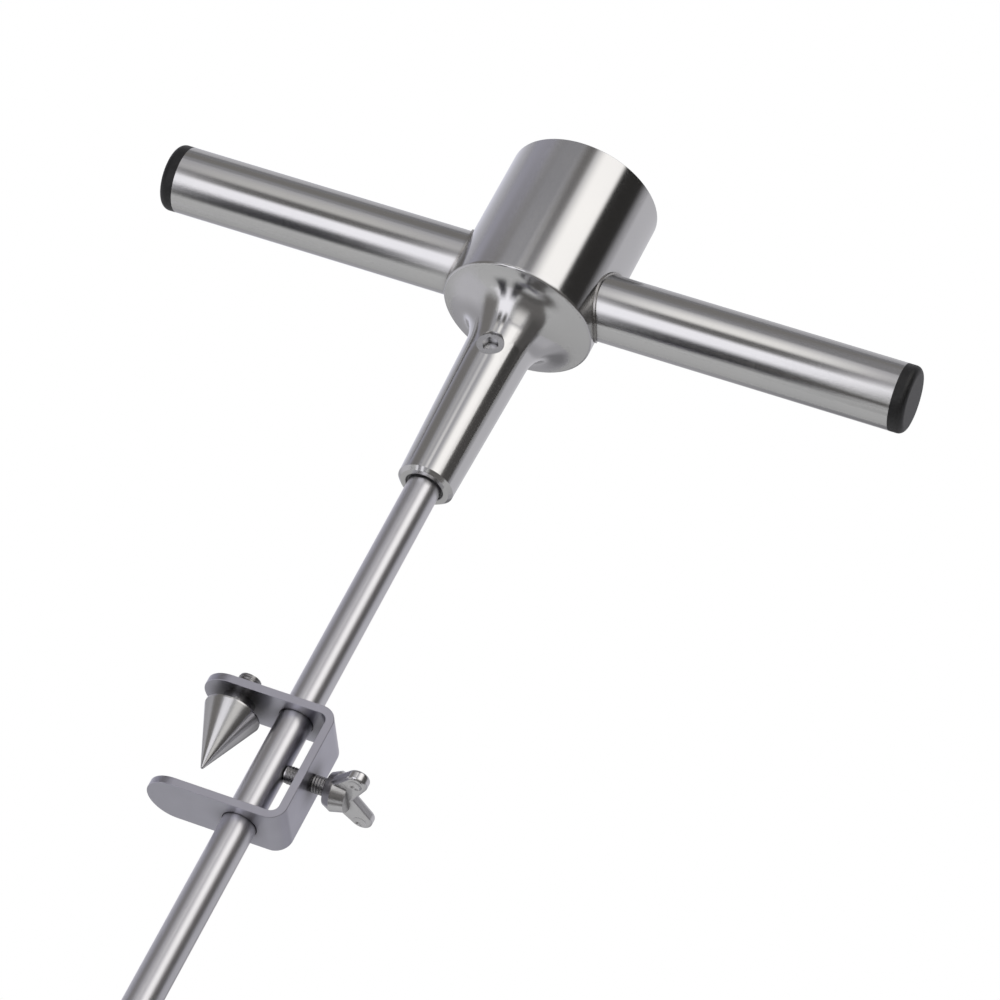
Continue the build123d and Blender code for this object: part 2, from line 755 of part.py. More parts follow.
def gear_tooth(teeth, addendum, mate_addendum):
    """One tooth centred on +X: involute flanks, thinned by half the backlash."""
    pitch_r = gear_module * teeth / 2
    pressure = math.radians(gear_pressure_angle)
    base_r = pitch_r * math.cos(pressure)
    root_r = gear_root(teeth, mate_addendum)
    tip_r = pitch_r + addendum * gear_module
    start_r = max(base_r, root_r)
    half_tooth = math.pi / (2 * teeth) - gear_backlash / (2 * pitch_r)

    def flank_point(radius):
        turn = half_tooth + involute(pressure) - involute(math.acos(base_r / radius))
        return radius * math.cos(turn), radius * math.sin(turn)

    radii = [start_r + (tip_r - start_r) * step / flank_steps for step in range(flank_steps + 1)]
    flank = [flank_point(radius) for radius in radii]
    sunk = (root_r - root_clearance * gear_module) / start_r
    upper = [(flank[0][0] * sunk, flank[0][1] * sunk)] + flank
    lower = [(x, -y) for x, y in reversed(upper)]
    return make_face(Polyline(*upper, *lower, close=True))


def pinion_arbor():
    """The pinion with its arbor: a lower pivot, the teeth, a collet for the hairspring, and the shaft."""
    low = sector_z - pinion_margin
    high = sector_top_z + pinion_margin
    outline = Circle(gear_root(pinion_teeth, sector_addendum))
    tooth = gear_tooth(pinion_teeth, pinion_addendum, sector_addendum)
    for index in range(pinion_teeth):
        outline += Rot(0, 0, index * 360 / pinion_teeth) * tooth
    body = Pos(0, 0, low) * extrude(outline, high - low)
    body += disc(pivot_d / 2, post_top_z, movement_z)
    body += disc(arbor_d / 2, movement_z, low)
    collet_r = hairspring_start_r - hairspring_width / 2 - seat_gap
    body += disc(collet_r, hairspring_z, hairspring_z + hairspring_height)
    return body + disc(arbor_d / 2, high, pointer_z)


def wedge(first_angle, last_angle, radius):
    """A three-cornered plan piece from the origin that covers an arc of the given radius."""
    reach = radius / math.cos(math.radians((last_angle - first_angle) / 2))
    corners = [Vector(reach, 0).rotate(Axis.Z, angle) for angle in (first_angle, last_angle)]
    return make_face(Polyline((0, 0), *[(corner.X, corner.Y) for corner in corners], close=True))


def sector_gear():
    """The toothed sector: a rim on two arms, a hub with its arbor, and a tail drilled for the link."""
    pitch = 360 / sector_teeth
    last = 180 + sector_lead_teeth * pitch
    first = last - sector_cut_teeth * pitch
    root_r = gear_root(sector_teeth, pinion_addendum)
    outline = Circle(root_r) & wedge(first, last, root_r)
    window_r = root_r - sector_rim
    arm_angle = math.degrees(sector_arm / window_r)
    window_cut = Circle(window_r) & wedge(first + arm_angle, last - arm_angle, window_r)
    outline -= window_cut - Circle(sector_hub_r)
    tooth = gear_tooth(sector_teeth, sector_addendum, pinion_addendum)
    for index in range(sector_cut_teeth):
        outline += Rot(0, 0, first + (index + 0.5) * pitch) * tooth
    tail_end = Rot(0, 0, sector_tail_angle) * Pos(sector_tail, 0) * Circle(sector_tail_r)
    tail = make_hull((Circle(sector_hub_r) + tail_end).edges())
    pin_hole = Rot(0, 0, sector_tail_angle) * Pos(sector_tail, 0) * Circle(link_pin_d / 2 + running_gap)
    outline = outline + tail - pin_hole
    body = Pos(0, 0, sector_z) * extrude(outline, sector_thickness)
    body += disc(arbor_d / 2, movement_z, front_plate_z)
    body += disc(pivot_d / 2, post_top_z, dial_z)
    return Pos(gear_distance, 0) * body


def hairspring():
    """A flat spiral of half circles about two centres, hung by its outer end from a stud."""
    turns = Curve()
    for index in range(hairspring_half_turns):
        centre_x = hairspring_step * (index % 2)
        radius = hairspring_start_r + hairspring_step * index
        turns += CenterArc((centre_x, 0), radius, 180 * (index % 2), 180)
    end_x = hairspring_start_r + hairspring_step * hairspring_half_turns
    spiral = Pos(0, 0, hairspring_z) * extrude(trace(turns, hairspring_width), hairspring_height)
    return spiral + Pos(end_x, 0) * disc(hairspring_stud_d / 2, hairspring_z, front_plate_z)


def dial_screw_places():
    """Two dial screws, one behind the pinion and one between it and the sector's pivot."""
    return [Pos(-dial_screw_x, 0), Pos(dial_screw_x, 0)]


def stop_pin_place():
    """The stop pin stands beside the pointer's rest, on the side away from its sweep."""
    half_width = pointer_width / 2
    turn = math.degrees(math.asin((half_width + stop_pin_d / 2 + seat_gap) / stop_pin_radius))
    return Pos(*Vector(stop_pin_radius, 0).rotate(Axis.Z, pointer_zero_angle + turn))


def dial_plate():
    """The dial: a thin disc with holes for the arbor, its screws and the stop pin."""
    dial = disc(case_bore_r - dial_gap, dial_z, dial_top_z) - disc(dial_hole_d / 2, dial_z, dial_top_z)
    for place in dial_screw_places():
        dial -= place * disc(dial_screw_d / 2, dial_z, dial_top_z)
    return dial - stop_pin_place() * disc(stop_pin_d / 2, dial_z, dial_top_z)


def dial_screws():
    """Flat screws that hold the dial on the front plate."""
    screw = disc(dial_screw_d / 2, front_plate_z, dial_top_z)
    screw += disc(dial_screw_head_d / 2, dial_top_z, dial_top_z + dial_screw_head)
    return Compound([place * screw for place in dial_screw_places()])


def pointer_stop_pin():
    """The pin that the pointer rests on at zero."""
    return stop_pin_place() * disc(stop_pin_d / 2, dial_z, dial_top_z + stop_pin_rise)


def pointer():
    """A tapered needle with a counterweight tail and a hub on the arbor, at rest on zero."""
    half = pointer_width / 2
    half_tip = pointer_tip_width / 2
    needle = Polyline((-pointer_tail, half), (-pointer_tail, -half), (pointer_length, -half_tip),
                      (pointer_length, half_tip), close=True)
    body = Pos(0, 0, pointer_z) * extrude(make_face(needle), pointer_thickness)
    body += disc(pointer_hub_d / 2, pointer_z, pointer_z + pointer_hub)
    return Rot(0, 0, pointer_zero_angle) * body


nodes = {
    "hub_shell": hub_shell(),
    "neck_base": neck_base(),
    "right_handle_tube": handle_tube(1),
    "left_handle_tube": handle_tube(-1),
    "handle_welds": handle_welds(),
    "right_end_plug": end_plug(1),
    "left_end_plug": end_plug(-1),
    "rod_retaining_screw": rod_retaining_screw(),
    "lower_guide_bush": guide_bush(neck_end_z + wiper_recess + wiper_length),
    "upper_guide_bush": guide_bush(rim_z - upper_bush_drop - bush_length),
    "rod_wiper": rod_wiper(),
    "push_rod": push_rod(),
    "fitted_cone": cone(small_cone_d, small_cone_length, small_stud_length),
    "storage_bracket": storage_bracket(),
    "wing_screw": wing_screw(),
    "spare_cone": spare_cone(),
    "hydraulic_cylinder": hydraulic_cylinder(),
    "cylinder_screws": cylinder_screws(),
    "piston": piston(),
    "piston_o_ring": piston_o_ring(),
    "piston_retaining_ring": piston_retaining_ring(),
    "gauge_socket": gauge_socket(),
    "gauge_seal_washer": gauge_seal_washer(),
    "gauge_case": gauge_case(),
    "case_screws": case_screws(),
    "window_gasket": window_gasket(),
    "gauge_window": gauge_window(),
    "gauge_bezel": gauge_bezel(),
    "bourdon_tube": bourdon_tube(),
    "tip_link": tip_link(),
    "movement_back_plate": movement_back_plate(),
    "movement_front_plate": movement_front_plate(),
    "movement_pillars": movement_pillars(),
    "movement_screws": movement_screws(),
    "pinion_arbor": pinion_arbor(),
    "sector_gear": sector_gear(),
    "hairspring": hairspring(),
    "dial_plate": dial_plate(),
    "dial_screws": dial_screws(),
    "pointer_stop_pin": pointer_stop_pin(),
    "pointer": pointer(),
}

os.makedirs("parts", exist_ok=True)
for name, shape in nodes.items():
    export_step(shape, f"parts/{name}.step")
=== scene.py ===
import math

import bpy
import numpy as np
from mathutils import Matrix, Vector


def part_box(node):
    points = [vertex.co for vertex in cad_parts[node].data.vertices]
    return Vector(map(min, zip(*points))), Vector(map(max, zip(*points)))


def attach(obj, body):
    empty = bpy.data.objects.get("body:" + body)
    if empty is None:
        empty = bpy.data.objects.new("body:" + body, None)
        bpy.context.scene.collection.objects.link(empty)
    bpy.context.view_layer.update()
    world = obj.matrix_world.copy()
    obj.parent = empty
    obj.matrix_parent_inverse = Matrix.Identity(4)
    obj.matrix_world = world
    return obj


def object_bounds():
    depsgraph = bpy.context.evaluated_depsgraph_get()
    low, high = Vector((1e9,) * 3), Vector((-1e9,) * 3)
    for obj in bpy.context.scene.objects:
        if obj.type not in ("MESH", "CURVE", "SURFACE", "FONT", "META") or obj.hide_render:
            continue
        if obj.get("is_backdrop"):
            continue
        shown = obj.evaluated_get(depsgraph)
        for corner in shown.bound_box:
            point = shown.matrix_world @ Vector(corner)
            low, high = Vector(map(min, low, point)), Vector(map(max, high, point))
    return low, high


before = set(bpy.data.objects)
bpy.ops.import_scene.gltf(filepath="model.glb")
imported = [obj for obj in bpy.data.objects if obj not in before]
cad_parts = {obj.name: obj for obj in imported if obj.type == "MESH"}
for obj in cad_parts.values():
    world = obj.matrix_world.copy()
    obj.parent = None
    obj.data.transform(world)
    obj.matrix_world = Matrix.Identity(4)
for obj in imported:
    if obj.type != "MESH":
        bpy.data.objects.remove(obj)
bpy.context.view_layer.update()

# Base and neck: one piece turned from stainless bar, a trumpet flare under the hub and a slow taper to
# the rod. The lathe leaves faint rings round it and the buffing wheel a cloudy sheen. Its corners are
# darkened with painted shade.

LINE_DETAIL, CLOUD_DETAIL = 3.0, 2.0
# Painted shade in corners: the rays that test the cover, the cover where it starts and where it is most,
# and the dark colour it goes to.
SHADE_RAYS = 12
OPEN_SKY, DEEP_CORNER = 0.92, 0.30
CORNER_SHADE_COLOUR = (0.045, 0.042, 0.040)


def start_group(name, inputs, outputs):
    """A new shader node group with named sockets: gives the group, its nodes, links, entry and exit."""
    group = bpy.data.node_groups.new(name, "ShaderNodeTree")
    for socket, kind in inputs:
        group.interface.new_socket(socket, in_out="INPUT", socket_type="NodeSocket" + kind)
    for socket in outputs:
        group.interface.new_socket(socket, in_out="OUTPUT", socket_type="NodeSocketFloat")
    nodes = group.nodes
    return group, nodes, group.links, nodes.new("NodeGroupInput"), nodes.new("NodeGroupOutput")


def make_polish_lines():
    """Group: noise on a stretched position gives thin lines, slower noise the sheen of wiped metal."""
    inputs = (("Position", "Vector"), ("Stretch", "Vector"), ("Cloud Size", "Float"))
    group, nodes, links, enter, leave = start_group("polish_lines", inputs, ("Lines", "Cloud"))
    stretched = nodes.new("ShaderNodeVectorMath")
    stretched.operation = "MULTIPLY"
    links.new(enter.outputs["Position"], stretched.inputs[0])
    links.new(enter.outputs["Stretch"], stretched.inputs[1])
    lines = nodes.new("ShaderNodeTexNoise")
    lines.inputs["Scale"].default_value = 1.0
    lines.inputs["Detail"].default_value = LINE_DETAIL
    links.new(stretched.outputs[0], lines.inputs["Vector"])
    links.new(lines.outputs["Fac"], leave.inputs["Lines"])
    cloud = nodes.new("ShaderNodeTexNoise")
    cloud.inputs["Detail"].default_value = CLOUD_DETAIL
    links.new(enter.outputs["Position"], cloud.inputs["Vector"])
    links.new(enter.outputs["Cloud Size"], cloud.inputs["Scale"])
    links.new(cloud.outputs["Fac"], leave.inputs["Cloud"])
    return group


def make_corner_grime():
    """Group: how much of the sky close by is covered gives painted shade in corners and under edges."""
    inputs = (("Reach", "Float"), ("Most", "Float"))
    group, nodes, links, enter, leave = start_group("painted_corner_shade", inputs, ("Painted Shade",))
    covered = nodes.new("ShaderNodeAmbientOcclusion")
    covered.samples = SHADE_RAYS
    links.new(enter.outputs["Reach"], covered.inputs["Distance"])
    ranged = nodes.new("ShaderNodeMapRange")
    ranged.interpolation_type = "SMOOTHSTEP"
    ranged.inputs["From Min"].default_value = OPEN_SKY
    ranged.inputs["From Max"].default_value = DEEP_CORNER
    ranged.inputs["To Min"].default_value = 0.0
    links.new(covered.outputs["AO"], ranged.inputs["Value"])
    links.new(enter.outputs["Most"], ranged.inputs["To Max"])
    links.new(ranged.outputs["Result"], leave.inputs["Painted Shade"])
    return group


polish_lines = make_polish_lines()
painted_corner_shade = make_corner_grime()


def start_material(name):
    """A new node material: gives the material, its nodes, its links and its Principled shader."""
    material = bpy.data.materials.new(name)
    material.use_nodes = True
    tree = material.node_tree
    return material, tree.nodes, tree.links, tree.nodes["Principled BSDF"]


def span(nodes, links, source, low, high):
    """A Map Range node that carries a mask from 0..1 to low..high."""
    ranged = nodes.new("ShaderNodeMapRange")
    ranged.inputs["To Min"].default_value = low
    ranged.inputs["To Max"].default_value = high
    links.new(source, ranged.inputs["Value"])
    return ranged.outputs["Result"]


def tint(nodes, links, mask, low, high):
    """A colour mix that goes from low to high with a mask; low is a colour or a socket."""
    mix = nodes.new("ShaderNodeMix")
    mix.data_type = "RGBA"
    if isinstance(low, tuple):
        mix.inputs["A"].default_value = (*low, 1.0)
    else:
        links.new(low, mix.inputs["A"])
    mix.inputs["B"].default_value = (*high, 1.0)
    links.new(mask, mix.inputs["Factor"])
    return mix.outputs["Result"]


def bare_metal(name, dull, bright, smooth, rough, stretch, cloud_size, line_depth,
               shade_reach=0.004, shade_most=0.5):
    """A bare metal finish: lines change gloss and relief, clouds the colour, painted shade darkens corners.
    """
    material, nodes, links, shader = start_material(name)
    place = nodes.new("ShaderNodeTexCoord")
    lines = nodes.new("ShaderNodeGroup")
    lines.node_tree = polish_lines
    lines.inputs["Stretch"].default_value = stretch
    lines.inputs["Cloud Size"].default_value = cloud_size
    links.new(place.outputs["Object"], lines.inputs["Position"])
    # Painted shade: the colour goes dark where surfaces close by cover the sky, in corners and under edges.
    corner_shade = nodes.new("ShaderNodeGroup")
    corner_shade.node_tree = painted_corner_shade
    corner_shade.inputs["Reach"].default_value = shade_reach
    corner_shade.inputs["Most"].default_value = shade_most
    clean = tint(nodes, links, lines.outputs["Cloud"], dull, bright)
    links.new(tint(nodes, links, corner_shade.outputs["Painted Shade"], clean, CORNER_SHADE_COLOUR), shader.inputs["Base Color"])
    links.new(span(nodes, links, lines.outputs["Lines"], smooth, rough), shader.inputs["Roughness"])
    relief = nodes.new("ShaderNodeBump")
    relief.inputs["Distance"].default_value = line_depth
    links.new(lines.outputs["Lines"], relief.inputs["Height"])
    links.new(relief.outputs["Normal"], shader.inputs["Normal"])
    shader.inputs["Metallic"].default_value = 1.0
    return material


def dress(material, *names):
    """Puts a finish on CAD nodes in place of the plain one they come with."""
    for name in names:
        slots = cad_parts[name].data.materials
        slots.clear()
        slots.append(material)


TURNED = (25.0, 25.0, 2600.0)
neck_finish = bare_metal("neck_turned_bar", dull=(0.60, 0.60, 0.605), bright=(0.65, 0.645, 0.645),
                         smooth=0.12, rough=0.14, stretch=TURNED, cloud_size=60.0, line_depth=4e-7)
dress(neck_finish, "neck_base")

# Hub: a length of stainless tube, parted off and polished on the lathe, so that faint rings run round it.
# Its lower end is welded on the base's register and dressed flush, and its upper end guards the gauge.

hub_finish = bare_metal("hub_polished_tube", dull=(0.60, 0.60, 0.605), bright=(0.65, 0.645, 0.64),
                        smooth=0.11, rough=0.13, stretch=TURNED, cloud_size=45.0, line_depth=5e-7)
dress(hub_finish, "hub_shell")

# Handles: two stainless tubes, coped to the hub's curve, and polished by a belt that ran round them.
# A thin bead of weld runs round each saddle, brushed nearly back to steel with a little straw colour left.

BELT_ROUND = (2600.0, 25.0, 25.0)
handle_finish = bare_metal("handle_polished_tube", dull=(0.61, 0.61, 0.615), bright=(0.66, 0.655, 0.65),
                           smooth=0.11, rough=0.16, stretch=BELT_ROUND, cloud_size=45.0, line_depth=4e-7)
dress(handle_finish, "right_handle_tube", "left_handle_tube")
weld_finish = bare_metal("weld_bead", dull=(0.46, 0.45, 0.44), bright=(0.58, 0.565, 0.55),
                         smooth=0.20, rough=0.32, stretch=(900.0,) * 3, cloud_size=300.0, line_depth=4e-6)
dress(weld_finish, "handle_welds")

# End plugs: moulded in black plastic with a fine even grain, and pushed into the tube ends up to the head.
# Ribs on the hollow stem hold them, and the head is as wide as the tube.

GRAIN_DETAIL = 2.0


def moulded(name, dark, light, smooth, rough, grain_size, grain_depth):
    """A moulded, printed or enamelled surface: an even fine grain with a slightly uneven gloss."""
    material, nodes, links, shader = start_material(name)
    place = nodes.new("ShaderNodeTexCoord")
    grain = nodes.new("ShaderNodeTexNoise")
    grain.inputs["Scale"].default_value = grain_size
    grain.inputs["Detail"].default_value = GRAIN_DETAIL
    links.new(place.outputs["Object"], grain.inputs["Vector"])
    links.new(tint(nodes, links, grain.outputs["Fac"], dark, light), shader.inputs["Base Color"])
    links.new(span(nodes, links, grain.outputs["Fac"], smooth, rough), shader.inputs["Roughness"])
    relief = nodes.new("ShaderNodeBump")
    relief.inputs["Distance"].default_value = grain_depth
    links.new(grain.outputs["Fac"], relief.inputs["Height"])
    links.new(relief.outputs["Normal"], shader.inputs["Normal"])
    return material


plug_finish = moulded("plug_plastic", dark=(0.006, 0.006, 0.007), light=(0.010, 0.010, 0.011),
                      smooth=0.40, rough=0.52, grain_size=1800.0, grain_depth=2e-5)
dress(plug_finish, "right_end_plug", "left_end_plug")

# Guides and seals: two sintered bronze bushes pressed into the neck's bore, and a grey rubber wiper inside
# its mouth that keeps soil out. The piston's ring and the window's gasket are of a blacker rubber.

bush_finish = bare_metal("bush_bronze", dull=(0.50, 0.33, 0.17), bright=(0.60, 0.42, 0.22),
                         smooth=0.3, rough=0.42, stretch=(400.0,) * 3, cloud_size=200.0, line_depth=5e-6)
dress(bush_finish, "lower_guide_bush", "upper_guide_bush")
rubber_finish = moulded("seal_rubber", dark=(0.008, 0.008, 0.008), light=(0.02, 0.02, 0.02),
                        smooth=0.55, rough=0.75, grain_size=1200.0, grain_depth=3e-5)
dress(rubber_finish, "piston_o_ring", "window_gasket")
wiper_finish = moulded("wiper_rubber", dark=(0.14, 0.14, 0.145), light=(0.19, 0.19, 0.195),
                       smooth=0.45, rough=0.6, grain_size=1200.0, grain_depth=2e-5)
dress(wiper_finish, "rod_wiper")

# Push rod: ground stainless bar, a little duller than the neck, with a ring turned in it at every depth
# mark. It slides in the bushes, and the set screw's dog point in its groove keeps it from falling out.

rod_finish = bare_metal("rod_ground_bar", dull=(0.64, 0.635, 0.66), bright=(0.70, 0.695, 0.72),
                        smooth=0.29, rough=0.31, stretch=TURNED, cloud_size=60.0, line_depth=4e-7,
                        shade_reach=0.003)
dress(rod_finish, "push_rod")

# Screws, clip and stop pin: small turned and rolled steel pieces. The set screw keeps the rod in the neck,
# the clip keeps the piston in its bore, and the others hold the cylinder, the gauge's case, the movement
# and the dial.

screw_finish = bare_metal("screw_steel", dull=(0.52, 0.52, 0.53), bright=(0.62, 0.62, 0.63),
                          smooth=0.18, rough=0.30, stretch=(500.0,) * 3, cloud_size=300.0, line_depth=3e-6,
                          shade_reach=0.002, shade_most=0.8)
dress(screw_finish, "rod_retaining_screw", "cylinder_screws", "case_screws", "piston_retaining_ring",
      "dial_screws", "movement_screws", "pointer_stop_pin")

# Cones: turned from stainless bar and polished, with a blunt point. The small one is screwed into the
# rod's foot, and the large one is kept as a spare in the bracket, with its stud's threaded end standing
# above the flange.

# The painted corner shade reaches farther on the cones, into the dark under the bracket's flange.
cone_finish = bare_metal("cone_turned_steel", dull=(0.53, 0.53, 0.535), bright=(0.60, 0.595, 0.59),
                         smooth=0.15, rough=0.21, stretch=TURNED, cloud_size=80.0, line_depth=8e-7,
                         shade_reach=0.009, shade_most=0.8)
dress(cone_finish, "fitted_cone", "spare_cone")
SLEEVE_COLUMNS, SLEEVE_ROWS_PER_PITCH = 48, 12
SLEEVE_WALL = 0.85
CREST_SLOPE = 0.75
THREAD_ROOT = 0.1


def put_mesh(name, points, faces):
    """A mesh object with its points in place, linked to the scene."""
    mesh = bpy.data.meshes.new(name)
    mesh.from_pydata(points.tolist(), [], faces.tolist())
    mesh.update()
    piece = bpy.data.objects.new(name, mesh)
    bpy.context.scene.collection.objects.link(piece)
    return piece


def tube_faces(stations, corners, closed=False):
    """Quads of a closed profile carried along a path, corners running first; a closed path comes back."""
    spans = stations if closed else stations - 1
    along, around = np.meshgrid(np.arange(spans), np.arange(corners), indexing="ij")
    after = (around + 1) % corners
    near, far = along * corners, (along + 1) % stations * corners
    return np.stack([near + around, near + after, far + after, far + around], -1).reshape(-1, 4)


def threaded_sleeve(name, start, length, radius, pitch, height, turn_axis):
    """A threaded length of shank: its radius rises and falls with a flattened cosine along a helix.

    The thread fades out over half a pitch at both ends, and the sleeve closes through a wall inside the
    shank."""
    rows = int(SLEEVE_ROWS_PER_PITCH * length / pitch) + 1
    share = np.linspace(0, 1, rows)[:, None]
    turn = 2 * np.pi * np.arange(SLEEVE_COLUMNS) / SLEEVE_COLUMNS
    wave = np.cos(2 * np.pi * share * length / pitch - turn)
    fade = np.clip(np.minimum(share, 1 - share) * 2 * length / pitch, 0, 1)
    crest = np.clip(0.5 + CREST_SLOPE * wave, 0, 1) * fade
    wall = np.full((1, SLEEVE_COLUMNS), SLEEVE_WALL * radius)
    skin = radius + height * (THREAD_ROOT + (1 - THREAD_ROOT) * crest)
    far = np.concatenate([wall, skin, wall])
    along = np.broadcast_to(np.concatenate([[0.0], share.ravel(), [1.0]])[:, None] * length, far.shape)
    across, deep = far * np.cos(turn), far * np.sin(turn)
    order = {"Z": (across, deep, along), "X": (along, across, deep)}[turn_axis]
    points = np.stack(order, -1).reshape(-1, 3) + np.array(start)
    sleeve = put_mesh(name, points, tube_faces(rows + 2, SLEEVE_COLUMNS, closed=True))
    sleeve.data.shade_smooth()
    return sleeve


SPARE_X = -0.0214
STUB_FOOT_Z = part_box("storage_bracket")[1][2]
STUB_TOP_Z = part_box("spare_cone")[1][2]
STUB_EDGE = 0.0002
stub_thread = threaded_sleeve("spare_stub_thread", (SPARE_X, 0.0, STUB_FOOT_Z),
                              length=STUB_TOP_Z - STUB_FOOT_Z - STUB_EDGE, radius=0.004, pitch=0.00125,
                              height=0.00022, turn_axis="Z")
stub_finish = bare_metal("stub_thread_steel", dull=(0.26, 0.255, 0.26), bright=(0.36, 0.355, 0.36),
                         smooth=0.22, rough=0.34, stretch=(700.0,) * 3, cloud_size=300.0, line_depth=3e-6,
                         shade_reach=0.002, shade_most=0.8)
stub_thread.data.materials.append(stub_finish)
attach(stub_thread, "spare_tip")

# Hydraulic cylinder: turned steel, screwed down in the base, with the piston on top of the rod inside it.
# The oil over the piston carries the pressure through the boss to the gauge.

cylinder_finish = bare_metal("cylinder_turned_steel", dull=(0.54, 0.54, 0.55), bright=(0.62, 0.62, 0.63),
                             smooth=0.2, rough=0.3, stretch=TURNED, cloud_size=60.0, line_depth=8e-7)
dress(cylinder_finish, "hydraulic_cylinder", "piston")

# Gauge: a brass socket screwed into the boss on a copper washer, and a pressed case screwed to its flange.
# The Bourdon tube is drawn bronze, flattened and bent to a C, and the movement is stamped and cut brass.

case_finish = bare_metal("case_pressed_steel", dull=(0.56, 0.56, 0.57), bright=(0.64, 0.64, 0.65),
                         smooth=0.14, rough=0.22, stretch=TURNED, cloud_size=60.0, line_depth=5e-7)
dress(case_finish, "gauge_case", "gauge_bezel")
copper_finish = bare_metal("washer_copper", dull=(0.66, 0.33, 0.20), bright=(0.76, 0.43, 0.29),
                           smooth=0.28, rough=0.4, stretch=(400.0,) * 3, cloud_size=200.0, line_depth=5e-6)
dress(copper_finish, "gauge_seal_washer")
BRUSHED_ACROSS = (1500.0, 90.0, 90.0)
brass_finish = bare_metal("movement_brass", dull=(0.66, 0.49, 0.23), bright=(0.76, 0.60, 0.32),
                          smooth=0.2, rough=0.3, stretch=BRUSHED_ACROSS, cloud_size=150.0, line_depth=2e-6)
dress(brass_finish, "gauge_socket", "movement_back_plate", "movement_front_plate", "movement_pillars",
      "sector_gear", "pinion_arbor", "tip_link")
DRAWN_ROUND = (90.0, 90.0, 1500.0)
spring_finish = bare_metal("spring_bronze", dull=(0.52, 0.34, 0.17), bright=(0.64, 0.46, 0.26),
                           smooth=0.22, rough=0.32, stretch=DRAWN_ROUND, cloud_size=150.0, line_depth=2e-6)
dress(spring_finish, "bourdon_tube", "hairspring")

# Dial: a thin plate enamelled off-white, with the scale, three zones and figures printed on it.
# The needle is enamelled black, and turns clockwise over the scale as the pressure rises.

dial_finish = moulded("dial_enamel", dark=(0.80, 0.80, 0.77), light=(0.84, 0.84, 0.81),
                      smooth=0.45, rough=0.55, grain_size=900.0, grain_depth=4e-6)
dress(dial_finish, "dial_plate")
needle_finish = moulded("needle_enamel", dark=(0.010, 0.010, 0.010), light=(0.018, 0.018, 0.018),
                        smooth=0.4, rough=0.5, grain_size=900.0, grain_depth=4e-6)
dress(needle_finish, "pointer")

DIAL_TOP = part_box("dial_plate")[1][2]
PRINT_LOW, PRINT_HIGH = DIAL_TOP - 0.00001, DIAL_TOP + 0.00004
SCALE_ZERO, SCALE_SWEEP, SCALE_FULL = 225.0, 270.0, 500
INK_THIN_SHARE, INK_THIN_LIFT = 0.85, 0.012


def scale_angle(value):
    """The angle on the dial, in radians from +X, where a reading stands."""
    return np.radians(SCALE_ZERO - SCALE_SWEEP * np.asarray(value, float) / SCALE_FULL)


def printed_arcs(name, inner, outer, start, end, steps, finish):
    """Flat closed bands on the dial, one for each start and end: a thin oblong carried along an arc."""
    start, end = np.atleast_1d(start), np.atleast_1d(end)
    inner, outer = np.broadcast_to(inner, start.shape), np.broadcast_to(outer, start.shape)
    angle = (start[:, None] + (end - start)[:, None] * np.linspace(0, 1, steps))[..., None]
    far = np.stack([inner, outer, outer, inner], -1)[:, None, :]
    tall = np.broadcast_to([PRINT_LOW, PRINT_LOW, PRINT_HIGH, PRINT_HIGH], (start.size, steps, 4))
    points = np.stack([far * np.cos(angle), far * np.sin(angle), tall], -1).reshape(-1, 3)
    caps = np.array([[3, 2, 1, 0], np.arange(4) + (steps - 1) * 4])
    band = np.concatenate([tube_faces(steps, 4), caps])
    faces = (band[None] + np.arange(start.size)[:, None, None] * steps * 4).reshape(-1, 4)
    piece = put_mesh(name, points, faces)
    piece.data.materials.append(finish)
    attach(piece, "frame")


def printing_ink(name, colour):
    """A flat printing ink over enamel, a little uneven where the screen left it thin."""
    thin = tuple(INK_THIN_SHARE * part + INK_THIN_LIFT for part in colour)
    return moulded(name, dark=thin, light=colour, smooth=0.42, rough=0.56,
                   grain_size=1500.0, grain_depth=3e-6)


black_ink = printing_ink("ink_black", (0.012, 0.012, 0.013))
ZONE_INNER, ZONE_OUTER, ZONE_STEPS = 0.0197, 0.0214, 60
ZONES = (("green", 0, 200, (0.035, 0.26, 0.075)),
         ("amber", 200, 300, (0.80, 0.46, 0.025)),
         ("red", 300, 500, (0.56, 0.025, 0.022)))
for zone, low, high, colour in ZONES:
    printed_arcs("dial_zone_" + zone, ZONE_INNER, ZONE_OUTER, scale_angle(high), scale_angle(low),
                 ZONE_STEPS, printing_ink("ink_" + zone, colour))

TICK_EVERY, FIGURE_EVERY = 20, 100
LONG_TICK_INNER, TICK_INNER, TICK_OUTER = 0.0166, 0.0180, 0.0194
LONG_TICK_HALF, TICK_HALF = 0.00028, 0.00014
TICK_MIDDLE, TICK_STEPS = 0.0185, 3
tick_values = np.arange(0, SCALE_FULL + 1, TICK_EVERY)
tick_long = tick_values % FIGURE_EVERY == 0
tick_half = np.where(tick_long, LONG_TICK_HALF, TICK_HALF) / TICK_MIDDLE
tick_angle = scale_angle(tick_values)
printed_arcs("dial_ticks", np.where(tick_long, LONG_TICK_INNER, TICK_INNER), TICK_OUTER,
             tick_angle - tick_half, tick_angle + tick_half, TICK_STEPS, black_ink)

FIGURE_CIRCLE, FIGURE_SIZE = 0.0139, 0.0036


def figure_triangles(body, size, centre):
    """The points and triangles of a printed figure: text, given a print's thickness and made a mesh."""
    text = bpy.data.curves.new("figure", "FONT")
    text.body, text.size = body, size
    text.align_x, text.align_y = "CENTER", "CENTER"
    text.extrude = (PRINT_HIGH - PRINT_LOW) / 2
    holder = bpy.data.objects.new("figure", text)
    bpy.context.scene.collection.objects.link(holder)
    solid = bpy.data.meshes.new_from_object(holder.evaluated_get(bpy.context.evaluated_depsgraph_get()))
    bpy.data.objects.remove(holder)
    solid.calc_loop_triangles()
    points = np.empty(len(solid.vertices) * 3, np.float32)
    corners = np.empty(len(solid.loop_triangles) * 3, np.int32)
    solid.vertices.foreach_get("co", points)
    solid.loop_triangles.foreach_get("vertices", corners)
    return points.reshape(-1, 3) + np.array(centre), corners.reshape(-1, 3)


